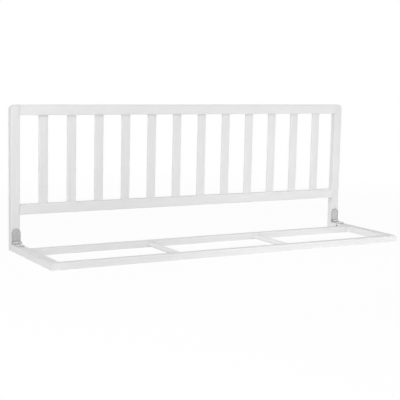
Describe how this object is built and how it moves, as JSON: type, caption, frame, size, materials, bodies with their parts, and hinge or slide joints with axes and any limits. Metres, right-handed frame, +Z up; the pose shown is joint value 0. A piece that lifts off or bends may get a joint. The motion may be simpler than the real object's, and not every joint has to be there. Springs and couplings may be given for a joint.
{
  "type": "folding bed guard rail",
  "caption": "Slatted wooden guard panel hinged at its two feet to a flat base frame that lies under a mattress; the panel folds forward flat onto the frame.",
  "frame": {"origin": "on the floor plane, at the middle of the object's outline seen from above", "axes": "+X along the bed, from the left post to the right post seen from the mattress side; +Y from the mattress towards the outside, where the panel stands; +Z up"},
  "size_m": [1.2, 0.338, 0.43],
  "materials": {
    "white_painted_wood": "white satin paint over sanded wood",
    "beech_dowel": "bare beech, fluted and glued",
    "zinc_plated_steel": "pressed sheet, bright zinc plated",
    "pin_steel": "drawn wire, zinc plated",
    "screw_steel": "bright zinc plated",
    "black_oxide_steel": "black oxide, lightly oiled"
  },
  "bodies": {
    "base": {"left_side_rail": "white_painted_wood", "right_side_rail": "white_painted_wood", "front_rail": "white_painted_wood", "back_rail": "white_painted_wood", "left_cross_bar": "white_painted_wood", "right_cross_bar": "white_painted_wood", "base_dowel_1": "beech_dowel", "base_dowel_2": "beech_dowel", "base_dowel_3": "beech_dowel", "base_dowel_4": "beech_dowel", "base_dowel_5": "beech_dowel", "base_dowel_6": "beech_dowel", "base_dowel_7": "beech_dowel", "base_dowel_8": "beech_dowel", "left_base_leaf": "zinc_plated_steel", "right_base_leaf": "zinc_plated_steel", "left_hinge_pin": "pin_steel", "right_hinge_pin": "pin_steel", "left_base_screw": "screw_steel", "right_base_screw": "screw_steel", "left_machine_screw": "screw_steel", "right_machine_screw": "screw_steel", "left_barrel_nut": "black_oxide_steel", "right_barrel_nut": "black_oxide_steel"},
    "panel": {"left_post": "white_painted_wood", "right_post": "white_painted_wood", "top_rail": "white_painted_wood", "bottom_rail": "white_painted_wood", "slat_01": "white_painted_wood", "slat_02": "white_painted_wood", "slat_03": "white_painted_wood", "slat_04": "white_painted_wood", "slat_05": "white_painted_wood", "slat_06": "white_painted_wood", "slat_07": "white_painted_wood", "slat_08": "white_painted_wood", "slat_09": "white_painted_wood", "slat_10": "white_painted_wood", "slat_11": "white_painted_wood", "slat_12": "white_painted_wood", "panel_dowel_1": "beech_dowel", "panel_dowel_2": "beech_dowel", "panel_dowel_3": "beech_dowel", "panel_dowel_4": "beech_dowel", "panel_dowel_5": "beech_dowel", "panel_dowel_6": "beech_dowel", "panel_dowel_7": "beech_dowel", "panel_dowel_8": "beech_dowel", "left_post_leaf": "zinc_plated_steel", "right_post_leaf": "zinc_plated_steel", "left_post_screw_lower": "screw_steel", "left_post_screw_upper": "screw_steel", "right_post_screw_lower": "screw_steel", "right_post_screw_upper": "screw_steel"}
  },
  "joints": [
    {"name": "panel_fold", "type": "hinge", "parent": "base", "child": "panel", "pos_m": [0, 0.142, 0.025], "axis": [1, 0, 0], "range_deg": [0, 91.7]}
  ]
}
